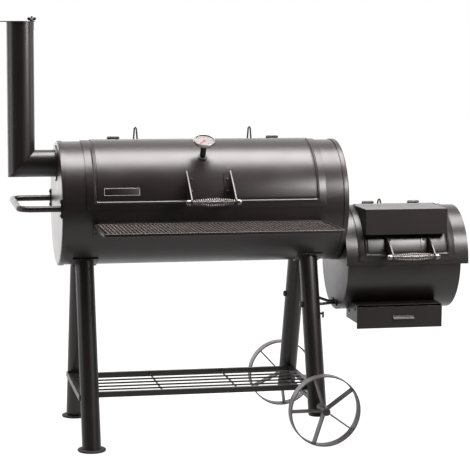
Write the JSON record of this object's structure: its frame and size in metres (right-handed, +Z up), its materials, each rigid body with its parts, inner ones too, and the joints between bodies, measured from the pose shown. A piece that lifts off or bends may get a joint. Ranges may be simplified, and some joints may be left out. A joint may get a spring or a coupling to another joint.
{
  "type": "offset smoker",
  "caption": "Black steel barrel smoker with side firebox, elbow chimney, hinged lids with coil-spring handles, front shelf, lower rack and spoked wheels.",
  "frame": {"origin": "on the ground under the middle of the bounding box", "axes": "+X along the chamber from the chimney to the firebox, -Y towards the cook (front shelf and handles), +Z up"},
  "size_m": [1.55, 0.8382, 1.3856],
  "materials": {
    "black_enamel": "semi-matt black heat-resistant enamel",
    "dark_steel": "matt dark grey painted steel",
    "wheel_steel": "matt grey painted steel strip",
    "bright_steel": "bright nickel plating",
    "cast_iron": "matt seasoned iron",
    "rubber": "matt moulded rubber",
    "needle_red": "red paint"
  },
  "bodies": {
    "smoker": {"ash_housing": "black_enamel", "axle": "dark_steel", "brace_front": "dark_steel", "brace_rear": "dark_steel", "cap_pivot": "black_enamel", "chamber_barrel": "black_enamel", "chamber_end_left": "black_enamel", "chamber_end_right": "black_enamel", "charcoal_grate": "cast_iron", "chimney_elbow": "black_enamel", "chimney_pipe": "black_enamel", "cooking_grate_left": "cast_iron", "cooking_grate_right": "cast_iron", "firebox_end_left": "black_enamel", "firebox_end_right": "black_enamel", "firebox_hinge_left": "dark_steel", "firebox_hinge_right": "dark_steel", "firebox_hood": "black_enamel", "firebox_lid_stop": "dark_steel", "firebox_trough": "black_enamel", "foot_front_left": "rubber", "foot_rear_left": "rubber", "front_shelf": "dark_steel", "grate_rail_front": "dark_steel", "grate_rail_rear": "dark_steel", "hinge_base_left": "dark_steel", "hinge_base_right": "dark_steel", "leg_front_left": "black_enamel", "leg_front_right": "black_enamel", "leg_rear_left": "black_enamel", "leg_rear_right": "black_enamel", "lid_stop_left": "dark_steel", "lid_stop_right": "dark_steel", "pull_handle": "black_enamel", "rack": "black_enamel", "shelf_bracket_left": "black_enamel", "shelf_bracket_right": "black_enamel", "strut_left": "black_enamel", "strut_right": "black_enamel"},
    "chamber_lid": {"chamber_handle_fin_left": "black_enamel", "chamber_handle_fin_right": "black_enamel", "chamber_handle_grip": "bright_steel", "chamber_handle_rod": "bright_steel", "chamber_lid": "black_enamel", "thermometer": "bright_steel"},
    "needle": {"thermometer_needle": "needle_red"},
    "firebox_lid": {"firebox_lid": "black_enamel", "warming_box": "black_enamel", "firebox_handle_fin_left": "black_enamel", "firebox_handle_fin_right": "black_enamel", "firebox_handle_grip": "bright_steel", "firebox_handle_rod": "bright_steel"},
    "chimney_cap": {"chimney_cap": "black_enamel"},
    "ash_drawer": {"ash_drawer": "black_enamel"},
    "wheel_front": {"wheel_front": "wheel_steel"},
    "wheel_rear": {"wheel_rear": "wheel_steel"},
    "air_damper": {"air_damper": "dark_steel"}
  },
  "joints": [
    {"name": "chamber_lid_hinge", "type": "hinge", "parent": "smoker", "child": "chamber_lid", "pos_m": [-0.12005, 0.09856, 0.98642], "axis": [-1, 0, 0], "range_deg": [0, 115]},
    {"name": "needle_turn", "type": "hinge", "parent": "chamber_lid", "child": "needle", "pos_m": [-0.12755, -0.09873, 0.98736], "axis": [0, 0.4695, -0.8829], "range_deg": [0, 270]},
    {"name": "firebox_lid_hinge", "type": "hinge", "parent": "smoker", "child": "firebox_lid", "pos_m": [0.5603, 0.09501, 0.75867], "axis": [-1, 0, 0], "range_deg": [0, 105]},
    {"name": "chimney_cap_swivel", "type": "hinge", "parent": "smoker", "child": "chimney_cap", "pos_m": [-0.66407, 0.10324, 1.366], "axis": [0, 0, 1], "range_deg": [0, 150]},
    {"name": "ash_drawer_slide", "type": "slide", "parent": "smoker", "child": "ash_drawer", "axis": [0, -1, 0], "range_m": [0, 0.12]},
    {"name": "air_damper_turn", "type": "hinge", "parent": "smoker", "child": "air_damper", "pos_m": [0.74945, 0.06885, 0.5275], "axis": [1, 0, 0], "range_deg": [0, 60]},
    {"name": "wheel_front_spin", "type": "hinge", "parent": "smoker", "child": "wheel_front", "pos_m": [0.24445, -0.25015, 0.1165], "axis": [0, 1, 0], "continuous": true},
    {"name": "wheel_rear_spin", "type": "hinge", "parent": "smoker", "child": "wheel_rear", "pos_m": [0.24445, 0.38785, 0.1165], "axis": [0, 1, 0], "continuous": true}
  ]
}
